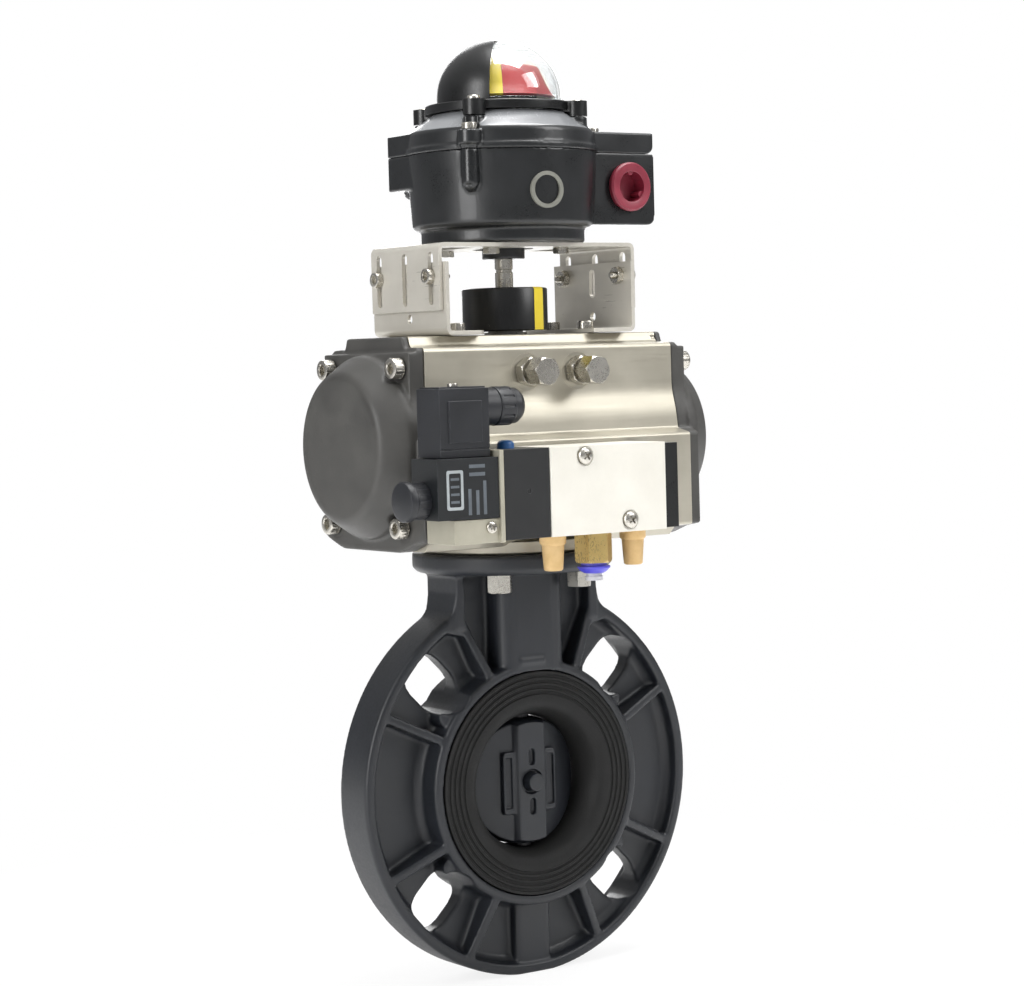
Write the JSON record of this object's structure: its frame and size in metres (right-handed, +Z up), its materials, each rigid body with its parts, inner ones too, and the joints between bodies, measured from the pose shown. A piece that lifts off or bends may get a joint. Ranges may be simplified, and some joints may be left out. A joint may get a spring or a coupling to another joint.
{
  "type": "actuated butterfly valve",
  "caption": "Wafer butterfly valve with a rack-and-pinion air actuator on top, a solenoid pilot valve on its front, and a limit switch box with a domed position indicator.",
  "frame": {"origin": "middle of the small flat foot under the valve body, on the axis of the stem", "axes": "+Z up along the stem, +Y along the flow bore from the front to the rear, +X along the actuator to the right as seen from the front, where the solenoid valve is"},
  "size_m": [0.2135, 0.1401, 0.4802],
  "materials": {
    "pvc": "moulded, dark blue-grey",
    "epdm": "black rubber",
    "steel": "machined",
    "stainless": "bright stainless",
    "aluminium": "anodised, champagne",
    "cast_aluminium": "machined casting",
    "satin_aluminium": "satin silver",
    "cap_paint": "dark grey powder coat",
    "box_paint": "black, semi-gloss",
    "black_plastic": "black",
    "coil_plastic": "black-grey encapsulation",
    "connector_plastic": "dark grey",
    "clear_plastic": "clear polycarbonate",
    "yellow_plastic": "yellow",
    "red_plastic": "red",
    "blue_plastic": "blue",
    "brass": "nickel-free brass",
    "sintered_brass": "sintered bronze-brass"
  },
  "bodies": {
    "frame": {"valve_body": "pvc", "seat_liner": "epdm", "actuator_body": "aluminium", "left_end_cap": "cap_paint", "right_end_cap": "cap_paint", "left_cap_screw_upper_front": "stainless", "left_cap_screw_upper_rear": "stainless", "left_cap_screw_lower_front": "stainless", "left_cap_screw_lower_rear": "stainless", "right_cap_screw_upper_front": "stainless", "right_cap_screw_upper_rear": "stainless", "right_cap_screw_lower_front": "stainless", "right_cap_screw_lower_rear": "stainless", "flange_bolt_rear_right": "stainless", "flange_bolt_rear_left": "stainless", "flange_bolt_front_left": "stainless", "flange_bolt_front_right": "stainless", "lid_bolt_front_left": "stainless", "lid_bolt_front_right": "stainless", "lid_bolt_rear_right": "stainless", "lid_bolt_rear_left": "stainless", "left_stop_nut": "stainless", "left_stop_bolt": "stainless", "right_stop_nut": "stainless", "right_stop_bolt": "stainless", "bracket_top_plate": "stainless", "bracket_left_leg": "stainless", "bracket_right_leg": "stainless", "upper_valve_screw": "stainless", "lower_valve_screw": "stainless", "dome_frame": "black_plastic", "micro_switches": "black_plastic", "left_valve_cover": "black_plastic", "right_valve_cover": "black_plastic", "switch_box_housing": "box_paint", "switch_box_lid": "box_paint", "dome_cover": "clear_plastic", "conduit_plug": "red_plastic", "pilot_valve_block": "satin_aluminium", "pilot_plate": "satin_aluminium", "solenoid_coil": "coil_plastic", "coil_nut": "coil_plastic", "coil_connector": "connector_plastic", "cable_gland_nut": "connector_plastic", "left_silencer": "sintered_brass", "right_silencer": "sintered_brass", "push_in_fitting": "brass"},
    "drive": {"disc": "pvc", "stem": "steel", "pinion": "steel", "position_puck": "black_plastic", "switch_shaft": "stainless", "lower_switch_cam": "red_plastic", "upper_switch_cam": "red_plastic", "indicator_drum": "yellow_plastic"},
    "left_piston": {"left_piston": "cast_aluminium"},
    "right_piston": {"right_piston": "cast_aluminium"},
    "spool": {"spool": "cast_aluminium"},
    "override": {"override_button": "blue_plastic"},
    "collar": {"release_collar": "blue_plastic"}
  },
  "joints": [
    {"name": "drive_turn", "type": "hinge", "parent": "frame", "child": "drive", "pos_m": [0, 0, 0.0992], "axis": [0, 0, 1], "range_deg": [0, 90]},
    {"name": "left_piston_slide", "type": "slide", "parent": "frame", "child": "left_piston", "axis": [-1, 0, 0], "range_m": [0, 0.0252]},
    {"name": "right_piston_slide", "type": "slide", "parent": "frame", "child": "right_piston", "axis": [1, 0, 0], "range_m": [0, 0.0252]},
    {"name": "spool_slide", "type": "slide", "parent": "frame", "child": "spool", "axis": [1, 0, 0], "range_m": [0, 0.005]},
    {"name": "override_press", "type": "slide", "parent": "frame", "child": "override", "axis": [0, 0, -1], "range_m": [0, 0.0018]},
    {"name": "collar_push", "type": "slide", "parent": "frame", "child": "collar", "axis": [0, 0, 1], "range_m": [0, 0.0012]}
  ],
  "couplings": [
    {"joint": "left_piston_slide", "follows": "drive_turn", "m_per_rad": 0.016},
    {"joint": "right_piston_slide", "follows": "drive_turn", "m_per_rad": 0.016}
  ]
}
